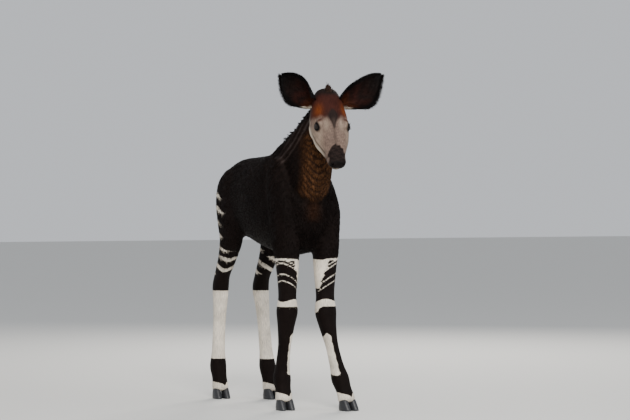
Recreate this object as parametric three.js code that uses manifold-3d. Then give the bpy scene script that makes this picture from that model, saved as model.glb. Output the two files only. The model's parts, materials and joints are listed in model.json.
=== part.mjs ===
// A young okapi, life size, standing with its left foreleg a step ahead and its head turned to look back at the viewer.
// Millimetres, +Z up. The calf faces -Y, its left side is +X, and it stands on the floor at Z = 0.
import * as THREE from "three";
import { mergeVertices } from "three/addons/utils/BufferGeometryUtils.js";
import Module from "manifold-3d";

const wasm = await Module();
wasm.setup();

// Driving dimensions
const GAP = 0.3; // between one piece and the next
const WITHERS = 944; // height of the flesh at the withers
const CROUP = 908; // height of the back over the hips
const POLL = { forward: 318, left: 22, up: 1148 }; // top of the head, between the ears
const HEAD_PITCH = THREE.MathUtils.degToRad(57); // nose below level
const HEAD_TURN = THREE.MathUtils.degToRad(13); // to the calf's right
const EYE = { along: 145, down: -32, out: 50, radius: 15, lid: 2.4 };
const EAR = { length: 190, width: 106, wall: 3.6, along: 44, down: -42, out: 47 };
const MOUTH_SLIT = 2.2;
const CLAW = { length: 64, width: 31, height: 37, apart: 34 };
const MANE = { locks: 34, length: 27, width: 21, thickness: 5 };
const TAIL = { length: 235, tuft: 95, locks: 12 };

// A point of the calf: distances forward, to its left, and up from the floor.
const at = (forward, left, up) => new THREE.Vector3(left, -forward, up);

// Seeded draws, so that the locks vary and still come out the same each time.
let seed = 20107;
function draw(low, high) {
  seed = (seed * 16807) % 2147483647;
  return low + ((high - low) * seed) / 2147483647;
}

function geometryOf(points, index) {
  const g = new THREE.BufferGeometry();
  g.setAttribute("position", new THREE.Float32BufferAttribute(points.flatMap((p) => [p.x, p.y, p.z]), 3));
  g.setIndex(index);
  return g;
}

// Rings of equally many points become one closed skin, with a fan over each end.
function skin(rings) {
  const sides = rings[0].length;
  const points = rings.flat();
  const index = [];
  for (let r = 0; r + 1 < rings.length; r++) {
    for (let i = 0; i < sides; i++) {
      const a = r * sides + i;
      const b = r * sides + ((i + 1) % sides);
      index.push(a, b, b + sides, a, b + sides, a + sides);
    }
  }
  for (const [r, turn] of [[0, 1], [rings.length - 1, 0]]) {
    const middle = rings[r].reduce((sum, p) => sum.add(p), new THREE.Vector3()).divideScalar(sides);
    points.push(middle);
    for (let i = 0; i < sides; i++) {
      const a = r * sides + i;
      const b = r * sides + ((i + 1) % sides);
      index.push(points.length - 1, turn ? b : a, turn ? a : b);
    }
  }
  return geometryOf(points, index);
}

// A geometry as a solid, turned the right way out.
function solid(geometry) {
  const bare = geometry.clone();
  bare.deleteAttribute("normal");
  bare.deleteAttribute("uv");
  const merged = mergeVertices(bare, 1e-4);
  const position = merged.getAttribute("position");
  const triVerts = new Uint32Array(merged.index.array);
  let volume = 0;
  const corner = [0, 1, 2].map(() => new THREE.Vector3());
  for (let i = 0; i < triVerts.length; i += 3) {
    corner.forEach((c, k) => c.fromBufferAttribute(position, triVerts[i + k]));
    volume += corner[0].dot(corner[1].clone().cross(corner[2]));
  }
  if (volume < 0) {
    for (let i = 0; i < triVerts.length; i += 3) {
      [triVerts[i + 1], triVerts[i + 2]] = [triVerts[i + 2], triVerts[i + 1]];
    }
  }
  return new wasm.Manifold(new wasm.Mesh({ numProp: 3, vertProperties: position.array, triVerts }));
}

const join = (...solids) => solids.reduce((a, b) => a.add(b));
const cut = (from, ...tools) => tools.reduce((a, b) => a.subtract(b), from);
const largest = (s) => s.decompose().reduce((a, b) => (b.volume() > a.volume() ? b : a));

function meshOf(name, made, material) {
  const m = largest(made).getMesh();
  const g = new THREE.BufferGeometry();
  const xyz = new Float32Array(m.numVert * 3);
  for (let i = 0; i < m.numVert; i++) {
    xyz.set(m.vertProperties.subarray(i * m.numProp, i * m.numProp + 3), i * 3);
  }
  g.setAttribute("position", new THREE.BufferAttribute(xyz, 3));
  g.setIndex(new THREE.BufferAttribute(m.triVerts, 1));
  g.computeVertexNormals();
  const mesh = new THREE.Mesh(g, material);
  mesh.name = name;
  return mesh;
}

// Flesh is lofted through stations. Each has a point a on its front or top line, a point b on its back
// or bottom line, half its width, where between b and a it is widest, and how square its section is.
const STATION = { widest: 0.5, square: 2.2 };
const power = (x, e) => Math.sign(x) * Math.abs(x) ** e;

function loft(stations, steps, sides, grow = 0) {
  const rows = stations.map((s) => ({ ...STATION, ...s }));
  const through = (pick) => new THREE.CatmullRomCurve3(rows.map(pick));
  const line = { a: through((s) => s.a), b: through((s) => s.b) };
  const size = through((s) => new THREE.Vector3(s.wide, s.widest, s.square));
  const middle = (t) => line.a.getPoint(t).add(line.b.getPoint(t)).multiplyScalar(0.5);
  const rings = [];
  for (let k = 0; k <= steps; k++) {
    const t = k / steps;
    const travel = middle(Math.min(1, t + 0.02)).sub(middle(Math.max(0, t - 0.02))).normalize();
    const a = line.a.getPoint(t);
    const b = line.b.getPoint(t);
    const { x: wide, y: widest, z: square } = size.getPoint(t);
    const rise = a.clone().sub(b).normalize();
    const side = rise.clone().cross(travel).normalize();
    const end = k === 0 ? -grow : k === steps ? grow : 0;
    const centre = b.clone().lerp(a, widest).addScaledVector(travel, end);
    const up = a.clone().addScaledVector(rise, grow).sub(centre).addScaledVector(travel, end);
    const down = b.clone().addScaledVector(rise, -grow).sub(centre).addScaledVector(travel, end);
    rings.push(
      Array.from({ length: sides }, (_, i) => {
        const turn = (i / sides) * 2 * Math.PI;
        const across = power(Math.cos(turn), 2 / square) * (wide + grow);
        const along = power(Math.sin(turn), 2 / square);
        return centre.clone().addScaledVector(side, across).addScaledVector(along > 0 ? up : down, Math.abs(along));
      }),
    );
  }
  return solid(skin(rings));
}

// An ellipsoid with its radii along x, y and z, turned and then moved.
function ball(centre, radii, turn = new THREE.Euler(), detail = 12) {
  const place = new THREE.Matrix4().compose(centre, new THREE.Quaternion().setFromEuler(turn), radii);
  return solid(new THREE.SphereGeometry(1, detail, Math.round(detail * 0.7)).applyMatrix4(place));
}

// A flat, tapered lock of hair that leaves its root along one way and bends over to another.
function lock({ root, out, lie, across, length, width, thickness, sunk }) {
  const path = new THREE.QuadraticBezierCurve3(
    root.clone().addScaledVector(out, -sunk),
    root.clone().addScaledVector(out, length * 0.55),
    root.clone().addScaledVector(out, length * 0.5).addScaledVector(lie, length * 0.8),
  );
  const shares = [[0, 0.8], [0.4, 1], [0.75, 0.72], [1, 0.12]];
  const rings = shares.map(([t, share]) => {
    const centre = path.getPoint(t);
    const travel = path.getTangent(t);
    const flat = across.clone().addScaledVector(travel, -across.dot(travel)).normalize();
    const thin = flat.clone().cross(travel).normalize();
    return [[1, 0], [0, 1], [-1, 0], [0, -1]].map(([w, h]) =>
      centre.clone().addScaledVector(flat, (w * width * share) / 2).addScaledVector(thin, (h * thickness * share) / 2),
    );
  });
  return solid(skin(rings));
}

// Trunk, from the rump to the front of the chest
const TRUNK = [
  { f: -398, top: 800, bottom: 752, wide: 20 },
  { f: -385, top: 846, bottom: 706, wide: 56 },
  { f: -345, top: 882, bottom: 664, wide: 88 },
  { f: -270, top: CROUP, bottom: 624, wide: 106 },
  { f: -170, top: CROUP + 6, bottom: 598, wide: 112 },
  { f: -60, top: CROUP + 12, bottom: 572, wide: 122 },
  { f: 30, top: WITHERS - 10, bottom: 556, wide: 118 },
  { f: 110, top: WITHERS - 26, bottom: 551, wide: 106 },
  { f: 180, top: 872, bottom: 566, wide: 94 },
  { f: 228, top: 812, bottom: 620, wide: 76 },
  { f: 250, top: 760, bottom: 690, wide: 34 },
];
const trunk = (grow) =>
  loft(TRUNK.map((s) => ({ a: at(s.f, 0, s.top), b: at(s.f, 0, s.bottom), wide: s.wide, widest: 0.46 })), 20, 24, grow);

// Neck, from inside the withers to inside the back of the head
const NECK = [
  { nape: [-70, 912], throat: [90, 640], left: 0, wide: 48 },
  { nape: [20, WITHERS + 13], throat: [196, 650], left: 0, wide: 80 },
  { nape: [104, 992], throat: [256, 735], left: 6, wide: 80 },
  { nape: [172, 1041], throat: [286, 826], left: 14, wide: 68 },
  { nape: [226, 1078], throat: [300, 905], left: 21, wide: 55 },
  { nape: [264, 1106], throat: [308, 962], left: 26, wide: 46 },
  { nape: [302, 1126], throat: [330, 1012], left: 30, wide: 38 },
];
const neckFlesh = (grow) =>
  loft(
    NECK.map((s) => ({ a: at(s.nape[0], s.left, s.nape[1]), b: at(s.throat[0], s.left, s.throat[1]), wide: s.wide, widest: 0.45 })),
    20,
    24,
    grow,
  );

// Legs: the middle of each station, half its width, and how far it reaches in front and behind.
const FORELEG_LEFT = [
  { f: 86, l: 60, u: 900, wide: 16, front: 22, back: 22 },
  { f: 110, l: 70, u: 868, wide: 30, front: 48, back: 48 },
  { f: 152, l: 82, u: 790, wide: 38, front: 62, back: 66 },
  { f: 184, l: 88, u: 705, wide: 42, front: 62, back: 78 },
  { f: 184, l: 88, u: 630, wide: 43, front: 52, back: 74 },
  { f: 184, l: 83, u: 568, wide: 46, front: 50, back: 58 },
  { f: 192, l: 76, u: 490, wide: 40, front: 40, back: 43 },
  { f: 202, l: 71, u: 405, wide: 34, front: 33, back: 34 },
  { f: 207, l: 70, u: 352, wide: 40, front: 38, back: 36 },
  { f: 214, l: 75, u: 300, wide: 33, front: 31, back: 31 },
  { f: 230, l: 86, u: 222, wide: 24, front: 23, back: 26 },
  { f: 246, l: 96, u: 155, wide: 26, front: 25, back: 30 },
  { f: 258, l: 103, u: 110, wide: 33, front: 32, back: 36 },
  { f: 276, l: 108, u: 72, wide: 29, front: 25, back: 30 },
  { f: 288, l: 112, u: 40, wide: 32, front: 29, back: 32 },
  { f: 291, l: 113, u: 26, wide: 25, front: 21, back: 25 },
];
const FORELEG_RIGHT = [
  { f: 80, l: -62, u: 900, wide: 16, front: 22, back: 22 },
  { f: 104, l: -72, u: 868, wide: 30, front: 48, back: 48 },
  { f: 146, l: -84, u: 790, wide: 38, front: 60, back: 66 },
  { f: 178, l: -88, u: 705, wide: 41, front: 62, back: 78 },
  { f: 180, l: -84, u: 630, wide: 42, front: 54, back: 72 },
  { f: 184, l: -76, u: 568, wide: 45, front: 49, back: 58 },
  { f: 184, l: -72, u: 490, wide: 39, front: 40, back: 43 },
  { f: 180, l: -71, u: 408, wide: 33, front: 33, back: 34 },
  { f: 178, l: -71, u: 356, wide: 40, front: 38, back: 36 },
  { f: 172, l: -72, u: 302, wide: 32, front: 31, back: 31 },
  { f: 163, l: -74, u: 222, wide: 24, front: 23, back: 26 },
  { f: 154, l: -76, u: 155, wide: 26, front: 25, back: 30 },
  { f: 150, l: -77, u: 110, wide: 33, front: 32, back: 36 },
  { f: 162, l: -78, u: 72, wide: 29, front: 25, back: 30 },
  { f: 170, l: -79, u: 40, wide: 32, front: 29, back: 32 },
  { f: 172, l: -79, u: 26, wide: 25, front: 21, back: 25 },
];
const HINDLEG_LEFT = [
  { f: -282, l: 56, u: 868, wide: 22, front: 40, back: 40 },
  { f: -276, l: 70, u: 820, wide: 36, front: 74, back: 84 },
  { f: -262, l: 76, u: 740, wide: 42, front: 88, back: 96 },
  { f: -240, l: 80, u: 665, wide: 42, front: 76, back: 82 },
  { f: -240, l: 80, u: 600, wide: 38, front: 60, back: 60 },
  { f: -268, l: 76, u: 525, wide: 31, front: 39, back: 45 },
  { f: -302, l: 72, u: 462, wide: 28, front: 29, back: 41 },
  { f: -316, l: 71, u: 416, wide: 31, front: 33, back: 39 },
  { f: -308, l: 72, u: 362, wide: 28, front: 29, back: 30 },
  { f: -296, l: 74, u: 280, wide: 24, front: 24, back: 27 },
  { f: -280, l: 76, u: 175, wide: 26, front: 25, back: 29 },
  { f: -270, l: 77, u: 120, wide: 32, front: 31, back: 35 },
  { f: -256, l: 78, u: 76, wide: 29, front: 26, back: 30 },
  { f: -247, l: 79, u: 40, wide: 32, front: 29, back: 32 },
  { f: -245, l: 79, u: 26, wide: 26, front: 21, back: 26 },
];
const HINDLEG_RIGHT = [
  { f: -288, l: -56, u: 866, wide: 22, front: 40, back: 40 },
  { f: -282, l: -70, u: 818, wide: 36, front: 74, back: 84 },
  { f: -272, l: -76, u: 738, wide: 42, front: 86, back: 94 },
  { f: -258, l: -80, u: 662, wide: 42, front: 74, back: 82 },
  { f: -266, l: -80, u: 600, wide: 38, front: 58, back: 60 },
  { f: -306, l: -76, u: 528, wide: 31, front: 38, back: 45 },
  { f: -350, l: -73, u: 468, wide: 28, front: 29, back: 40 },
  { f: -370, l: -72, u: 422, wide: 31, front: 33, back: 39 },
  { f: -372, l: -73, u: 366, wide: 28, front: 29, back: 30 },
  { f: -376, l: -75, u: 280, wide: 24, front: 24, back: 27 },
  { f: -380, l: -77, u: 175, wide: 26, front: 25, back: 29 },
  { f: -380, l: -78, u: 120, wide: 32, front: 31, back: 35 },
  { f: -366, l: -79, u: 76, wide: 29, front: 26, back: 30 },
  { f: -357, l: -80, u: 40, wide: 32, front: 29, back: 32 },
  { f: -355, l: -80, u: 26, wide: 26, front: 21, back: 26 },
];

// A leg's front and back points lie across the way that it runs.
function legFlesh(rows, grow) {
  const path = rows.map((s) => at(s.f, s.l, s.u));
  const stations = rows.map((s, i) => {
    const run = path[Math.min(i + 1, path.length - 1)].clone().sub(path[Math.max(i - 1, 0)]).normalize();
    const front = at(1, 0, 0).addScaledVector(run, -at(1, 0, 0).dot(run)).normalize();
    return {
      a: path[i].clone().addScaledVector(front, s.front),
      b: path[i].clone().addScaledVector(front, -s.back),
      wide: s.wide,
      widest: s.back / (s.front + s.back),
    };
  });
  return loft(stations, 20, 14, grow);
}

// One claw of a hoof: its sole is flat on the floor, and its toe points forward.
function claw(grow) {
  const { length, width, height } = CLAW;
  const rows = [
    { up: 0, toe: length * 0.54, heel: length * 0.44, wide: width / 2 },
    { up: 7, toe: length * 0.51, heel: length * 0.46, wide: width / 2 + 0.6 },
    { up: height * 0.6, toe: length * 0.34, heel: length * 0.44, wide: width / 2 - 0.6 },
    { up: height, toe: length * 0.2, heel: length * 0.38, wide: width / 2 - 2.4 },
    { up: height + 5, toe: length * 0.06, heel: length * 0.24, wide: width / 2 - 7 },
  ];
  return rows.map((r) => ({ a: at(r.toe, 0, r.up), b: at(-r.heel, 0, r.up), wide: r.wide, widest: 0.44 }));
}
const clawFlesh = (grow) => loft(claw(), 5, 12, grow);
const FEET = {
  fore_left: { leg: FORELEG_LEFT, forward: 299, left: 114, turn: 4 },
  fore_right: { leg: FORELEG_RIGHT, forward: 180, left: -79, turn: -4 },
  hind_left: { leg: HINDLEG_LEFT, forward: -237, left: 80, turn: 6 },
  hind_right: { leg: HINDLEG_RIGHT, forward: -347, left: -81, turn: -6 },
};

const materials = {
  coat: new THREE.MeshStandardMaterial({ color: 0x2a1a12, roughness: 0.75, metalness: 0 }),
  face: new THREE.MeshStandardMaterial({ color: 0x8d7462, roughness: 0.8, metalness: 0 }),
  stocking: new THREE.MeshStandardMaterial({ color: 0xcfc3b0, roughness: 0.8, metalness: 0 }),
  ear: new THREE.MeshStandardMaterial({ color: 0x23140f, roughness: 0.8, metalness: 0 }),
  horn: new THREE.MeshStandardMaterial({ color: 0x4c4d50, roughness: 0.45, metalness: 0 }),
  eye: new THREE.MeshStandardMaterial({ color: 0x0c0908, roughness: 0.08, metalness: 0 }),
};

// The head has its own frame: x to its left, y back along the skull from nose to poll, z up out of the
// forehead, with its origin on the poll.
const headFrame = new THREE.Matrix4().compose(
  at(POLL.forward, POLL.left, POLL.up),
  new THREE.Quaternion().setFromEuler(new THREE.Euler(HEAD_PITCH, 0, -HEAD_TURN, "ZXY")),
  new THREE.Vector3(1, 1, 1),
);
const onHead = (along, down, out) => new THREE.Vector3(out, -along, down);
const HEAD = [
  { h: -22, top: -34, bottom: -62, wide: 16 },
  { h: -8, top: -10, bottom: -86, wide: 40 },
  { h: 25, top: 1, bottom: -112, wide: 54 },
  { h: 66, top: 4, bottom: -132, wide: 63 },
  { h: 108, top: 2, bottom: -137, wide: 68 },
  { h: 147, top: -6, bottom: -130, wide: 67 },
  { h: 186, top: -16, bottom: -121, wide: 61 },
  { h: 222, top: -24, bottom: -101, wide: 48 },
  { h: 254, top: -29, bottom: -84, wide: 37 },
  { h: 280, top: -31, bottom: -75, wide: 34 },
  { h: 297, top: -36, bottom: -68, wide: 27 },
  { h: 305, top: -45, bottom: -59, wide: 13 },
];
const skull = (grow) =>
  loft(HEAD.map((s) => ({ a: onHead(s.h, s.top, 0), b: onHead(s.h, s.bottom, 0), wide: s.wide, widest: 0.52 })), 22, 24, grow);

function mouth() {
  const slit = new THREE.Shape([
    new THREE.Vector2(230, -71),
    new THREE.Vector2(258, -65),
    new THREE.Vector2(330, -58),
    new THREE.Vector2(330, -58 - MOUTH_SLIT),
    new THREE.Vector2(258, -65 - MOUTH_SLIT),
  ]);
  const across = 90;
  const g = new THREE.ExtrudeGeometry(slit, { depth: across, bevelEnabled: false });
  const toHead = new THREE.Matrix4().set(0, 0, 1, -across / 2, -1, 0, 0, 0, 0, 1, 0, 0, 0, 0, 0, 1);
  return solid(g.applyMatrix4(toHead));
}

function headSolid() {
  const sides = [1, -1];
  const lids = sides.map((s) =>
    ball(onHead(EYE.along, EYE.down, s * EYE.out), new THREE.Vector3().setScalar(EYE.radius + EYE.lid), undefined, 14),
  );
  const sockets = sides.map((s) =>
    ball(onHead(EYE.along, EYE.down, s * EYE.out), new THREE.Vector3().setScalar(EYE.radius + GAP), undefined, 16),
  );
  const openings = sides.map((s) =>
    ball(
      onHead(EYE.along + 4, EYE.down + 7, s * (EYE.out + 13.5)),
      new THREE.Vector3(9.5, 12.5, 8.5),
      new THREE.Euler(THREE.MathUtils.degToRad(-12), THREE.MathUtils.degToRad(-s * 28), 0),
      16,
    ),
  );
  const nostrils = sides.map((s) =>
    ball(onHead(291, -43, s * 19), new THREE.Vector3(5, 10, 4), new THREE.Euler(0.5, 0, s * 0.6), 10),
  );
  const chin = ball(onHead(279, -70, 0), new THREE.Vector3(21, 19, 9), undefined, 16);
  return cut(join(skull(0), chin, ...lids), ...sockets, ...openings, ...nostrils, mouth());
}

// The ear is a pointed leaf rolled into a cup. Its own frame: y up from root to tip, z out of the cup.
function earSolid({ side, fullness }) {
  const rows = [
    { s: 0, half: 24, roll: 125 },
    { s: 0.14, half: 40, roll: 98 },
    { s: 0.34, half: EAR.width * 0.5, roll: 70 },
    { s: 0.52, half: EAR.width * 0.49, roll: 58 },
    { s: 0.7, half: EAR.width * 0.39, roll: 52 },
    { s: 0.86, half: EAR.width * 0.23, roll: 48 },
    { s: 0.96, half: EAR.width * 0.09, roll: 46 },
    { s: 1, half: 3, roll: 46 },
  ];
  const shape = new THREE.CatmullRomCurve3(rows.map((r) => new THREE.Vector3(r.s, r.half, r.roll)));
  const steps = 12;
  const arc = 8;
  const rings = [];
  for (let k = 0; k <= steps; k++) {
    const { x: s, y: half, z: roll } = shape.getPoint(k / steps);
    const angle = THREE.MathUtils.degToRad(roll);
    const radius = half / Math.sin(Math.min(angle, Math.PI / 2));
    const wall = Math.min(EAR.wall, half * 0.5);
    const lean = 16 * s * s;
    const bulge = side * fullness * half * Math.sin(Math.PI * s);
    const point = (p, r) =>
      new THREE.Vector3(bulge + r * Math.sin(p * angle), s * EAR.length, radius - r * Math.cos(p * angle) + lean);
    const ring = [];
    for (let i = 0; i <= arc; i++) ring.push(point((i / arc) * 2 - 1, radius));
    for (let i = arc; i >= 0; i--) ring.push(point((i / arc) * 2 - 1, radius - wall));
    rings.push(ring);
  }
  const root = ball(new THREE.Vector3(0, -3.1, 19.3), new THREE.Vector3(22.4, 24.7, 20.6), undefined, 13);
  return join(solid(skin(rings)), root);
}

// Both ears are held up and out, with their cups open to the calf's right front, where it is looking.
const LOOK = at(0.883, -0.469, 0);
const ASIDE = at(0.469, 0.883, 0);
const EARS = {
  left: { side: 1, rise: 38, back: 0.39, open: 0.12, fullness: 0.29 },
  right: { side: -1, rise: 45, back: 0.72, open: 0.39, fullness: 0 },
};

function earFrame({ side, rise, back, open }) {
  const angle = THREE.MathUtils.degToRad(rise);
  const y = ASIDE.clone().multiplyScalar(side * Math.cos(angle)).add(at(0, 0, Math.sin(angle)));
  y.addScaledVector(LOOK, -back).normalize();
  const z = LOOK.clone().addScaledVector(ASIDE, side * open);
  z.addScaledVector(y, -z.dot(y)).normalize();
  const root = onHead(EAR.along, EAR.down, side * EAR.out).applyMatrix4(headFrame);
  return new THREE.Matrix4().makeBasis(y.clone().cross(z), y, z).setPosition(root);
}

// The mane stands in two rows of short locks that overlap down the nape, leaning back.
function maneLocks() {
  const nape = new THREE.CatmullRomCurve3(NECK.map((s) => at(s.nape[0], s.left, s.nape[1])));
  const locks = [];
  for (let i = 0; i < MANE.locks; i++) {
    const t = 0.235 + (0.72 * (i + 0.5)) / MANE.locks;
    const run = nape.getTangentAt(t);
    const side = at(0, 1, 0);
    const out = side.clone().cross(run).normalize();
    if (out.z < 0) out.negate();
    const row = i % 2 ? 1 : -1;
    const fade = Math.min(1, 4 * (1 - t), 6 * (t - 0.1));
    const lean = out.clone().addScaledVector(run, -draw(0.5, 0.9)).addScaledVector(side, row * draw(0.0, 0.3));
    locks.push(
      lock({
        root: nape.getPointAt(t).addScaledVector(side, row * 3.5),
        out: out.clone().addScaledVector(side, row * 0.12).normalize(),
        lie: lean.normalize(),
        across: run.clone().addScaledVector(side, row * draw(0.1, 0.5)).normalize(),
        length: MANE.length * fade * draw(0.85, 1.15),
        width: MANE.width,
        thickness: MANE.thickness,
        sunk: 11,
      }),
    );
  }
  return locks;
}

// The tail hangs close behind the rump, and ends in a tuft.
const tailPath = new THREE.CatmullRomCurve3([
  at(-350, 0, 850),
  at(-388, 0, 838),
  at(-412, 0, 800),
  at(-420, 0, 740),
  at(-418, 0, 850 - TAIL.length),
]);
function tailSolid(grow) {
  const stations = [15, 14, 11, 9, 8].map((wide, i) => {
    const t = i / 4;
    const run = tailPath.getTangent(t);
    const back = run.clone().cross(at(0, 1, 0)).normalize();
    const middle = tailPath.getPoint(t);
    return { a: middle.clone().addScaledVector(back, wide), b: middle.clone().addScaledVector(back, -wide), wide };
  });
  return loft(stations, 10, 12, grow);
}

function tailLocks() {
  const locks = [];
  for (let i = 0; i < TAIL.locks; i++) {
    const turn = i * 2.4;
    const t = 0.78 + (0.2 * i) / TAIL.locks;
    const outward = at(Math.sin(turn), Math.cos(turn), 0);
    locks.push(
      lock({
        root: tailPath.getPoint(t).addScaledVector(outward, 3),
        out: at(0, 0, -1).addScaledVector(outward, 0.3).normalize(),
        lie: at(0, 0, -1).addScaledVector(outward, draw(-0.1, 0.08)).normalize(),
        across: at(0, 0, 1).cross(outward).normalize(),
        length: TAIL.tuft * draw(0.75, 1.05),
        width: 13,
        thickness: 5,
        sunk: 12,
      }),
    );
  }
  return locks;
}

// Assembly
const legs = {
  foreleg_left: FEET.fore_left,
  foreleg_right: FEET.fore_right,
  hindleg_left: FEET.hind_left,
  hindleg_right: FEET.hind_right,
};
const okapi = new THREE.Group();
const grownLegs = Object.values(legs).map((foot) => legFlesh(foot.leg, GAP));
const grownTrunk = trunk(GAP);

const inBody = (geometrySolid, matrix) => geometrySolid.transform(matrix.toArray());
const grownHead = inBody(skull(GAP), headFrame);

const ears = [];
for (const [name, ear] of Object.entries(EARS)) {
  const place = earFrame(ear);
  const shell = inBody(earSolid(ear), place);
  ears.push([name, cut(shell, grownHead, neckFlesh(GAP))]);
}

okapi.add(meshOf("torso", cut(trunk(0), ...grownLegs), materials.coat));
const neckWithMane = join(neckFlesh(0), ...maneLocks());
okapi.add(meshOf("neck", cut(neckWithMane, grownTrunk, grownHead, ...grownLegs), materials.coat));
okapi.add(meshOf("tail", cut(join(tailSolid(0), ...tailLocks()), grownTrunk), materials.coat));
for (const [name, made] of ears) okapi.add(meshOf(`ear_${name}`, made, materials.ear));

for (const [name, foot] of Object.entries(legs)) {
  const place = new THREE.Group();
  place.position.copy(at(foot.forward, foot.left, 0));
  place.rotation.z = THREE.MathUtils.degToRad(foot.turn);
  place.updateMatrix();
  const grownClaws = [];
  for (const [which, side] of [["outer", 1], ["inner", -1]]) {
    const outward = foot.left > 0 ? side : -side;
    const shift = new THREE.Matrix4().makeTranslation((outward * CLAW.apart) / 2, 0, 0);
    grownClaws.push(inBody(clawFlesh(GAP), place.matrix.clone().multiply(shift)));
    const hoof = meshOf(`hoof_${name.replace("leg", "")}_${which}`, clawFlesh(0), materials.horn);
    hoof.position.setX((outward * CLAW.apart) / 2);
    place.add(hoof);
  }
  okapi.add(place);
  okapi.add(meshOf(name, cut(legFlesh(foot.leg, 0), ...grownClaws), materials.stocking));
}

const head = new THREE.Group();
head.applyMatrix4(headFrame);
head.add(meshOf("head", headSolid(), materials.face));
for (const [name, side] of [["left", 1], ["right", -1]]) {
  const eye = meshOf(
    `eye_${name}`,
    ball(new THREE.Vector3(), new THREE.Vector3().setScalar(EYE.radius), undefined, 16),
    materials.eye,
  );
  eye.position.copy(onHead(EYE.along, EYE.down, side * EYE.out));
  head.add(eye);
}
okapi.add(head);

// The floor stays at Z = 0, and the middle of the whole calf comes over the origin.
const bounds = new THREE.Box3().setFromObject(okapi, true);
const middle = bounds.getCenter(new THREE.Vector3());
okapi.position.set(-middle.x, -middle.y, 0);

export default okapi;
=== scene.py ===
# %% [markdown]
# An okapi calf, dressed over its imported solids.
# The solids give every length. This script turns them into one skin, lays a coat over it, and sets the
# eyes, hooves, mane, ears and tail into place. Shapes are drawn in millimetres and become metres when a piece
# is made. The lengths that are in metres from the start, such as the lights and the cells, are few.

# %% Load the frame
import bpy
import bmesh
import json
import math
import numpy as np
from mathutils import Matrix, Vector
from mathutils.bvhtree import BVHTree

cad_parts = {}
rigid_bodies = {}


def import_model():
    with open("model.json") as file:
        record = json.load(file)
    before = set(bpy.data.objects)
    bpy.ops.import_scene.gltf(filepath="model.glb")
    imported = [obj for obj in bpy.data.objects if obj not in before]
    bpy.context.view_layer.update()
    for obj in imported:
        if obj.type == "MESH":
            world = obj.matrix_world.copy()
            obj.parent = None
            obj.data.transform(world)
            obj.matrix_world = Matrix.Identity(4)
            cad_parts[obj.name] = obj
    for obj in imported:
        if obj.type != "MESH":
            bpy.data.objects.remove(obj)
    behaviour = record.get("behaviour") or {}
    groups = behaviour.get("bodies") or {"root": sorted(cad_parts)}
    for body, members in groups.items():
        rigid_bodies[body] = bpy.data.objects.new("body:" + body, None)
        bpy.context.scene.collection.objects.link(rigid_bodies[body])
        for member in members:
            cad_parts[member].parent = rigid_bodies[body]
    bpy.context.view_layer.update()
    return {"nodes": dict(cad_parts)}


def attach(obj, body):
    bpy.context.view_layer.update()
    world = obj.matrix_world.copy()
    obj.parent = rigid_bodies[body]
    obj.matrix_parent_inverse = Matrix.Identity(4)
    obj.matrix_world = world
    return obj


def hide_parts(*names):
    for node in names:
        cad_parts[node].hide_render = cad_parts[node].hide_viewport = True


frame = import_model()
rng = np.random.default_rng(20107)
MIDDLE = np.array([48.05, -5.54, 0.0])

# %% [markdown]
# The calf's own directions are easier to think in than X and Y: forward, to its left, and up.
# Two small helpers turn one into the other, for single points and for long lists alike.

# %% Directions
def at(f, l, u):
    return np.stack(np.broadcast_arrays(l, -np.asarray(f, float), u), -1).astype(float)


def to_row(points):
    return (np.asarray(points) - MIDDLE) / 1000


def to_calf(points):
    x, y, z = (np.asarray(points) * 1000 + MIDDLE).T
    return -y, x, z


def unit(v):
    return v / np.maximum(np.linalg.norm(v, axis=-1, keepdims=True), 1e-9)


def smooth(low, high, x):
    t = np.clip((np.asarray(x, float) - low) / (high - low), 0, 1)
    return t * t * (3 - 2 * t)


# %% [markdown]
# These are the stations that the solids were lofted through, repeated here because a skin needs many more
# and rounder sections than a solid does. Each row of a leg is forward, left, up, half width, and its reach
# in front and behind.

# %% Stations
# forward, top, bottom, half width
TRUNK = [(-398, 800, 752, 20),
         (-385, 846, 706, 56),
         (-345, 882, 664, 88),
         (-270, 908, 624, 106),
         (-170, 914, 598, 112),
         (-60, 920, 572, 122),
         (30, 934, 556, 118),
         (110, 918, 551, 106),
         (180, 872, 566, 94),
         (228, 812, 620, 76),
         (250, 760, 690, 34)]
# nape forward and up, throat forward and up, left, half width
NECK = [(-70, 912, 90, 640, 0, 48),
        (20, 957, 196, 650, 0, 80),
        (104, 992, 256, 735, 6, 80),
        (172, 1041, 286, 826, 14, 68),
        (226, 1078, 300, 905, 21, 55),
        (264, 1106, 308, 962, 26, 46),
        (302, 1126, 330, 1012, 30, 38)]
FORELEG_LEFT = [(86, 60, 900, 16, 22, 22), (110, 70, 868, 30, 48, 48), (152, 82, 790, 38, 62, 66),
    (184, 88, 705, 42, 62, 78), (184, 88, 630, 43, 52, 74), (184, 83, 568, 46, 50, 58),
    (192, 76, 490, 40, 40, 43), (202, 71, 405, 34, 33, 34), (207, 70, 352, 40, 38, 36),
    (214, 75, 300, 33, 31, 31), (230, 86, 222, 24, 23, 26), (246, 96, 155, 26, 25, 30),
    (258, 103, 110, 33, 32, 36), (276, 108, 72, 29, 25, 30), (288, 112, 40, 32, 29, 32),
    (291, 113, 26, 25, 21, 25)]
FORELEG_RIGHT = [(80, -62, 900, 16, 22, 22), (104, -72, 868, 30, 48, 48), (146, -84, 790, 38, 60, 66),
    (178, -88, 705, 41, 62, 78), (180, -84, 630, 42, 54, 72), (184, -76, 568, 45, 49, 58),
    (184, -72, 490, 39, 40, 43), (180, -71, 408, 33, 33, 34), (178, -71, 356, 40, 38, 36),
    (172, -72, 302, 32, 31, 31), (163, -74, 222, 24, 23, 26), (154, -76, 155, 26, 25, 30),
    (150, -77, 110, 33, 32, 36), (162, -78, 72, 29, 25, 30), (170, -79, 40, 32, 29, 32),
    (172, -79, 26, 25, 21, 25)]
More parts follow.
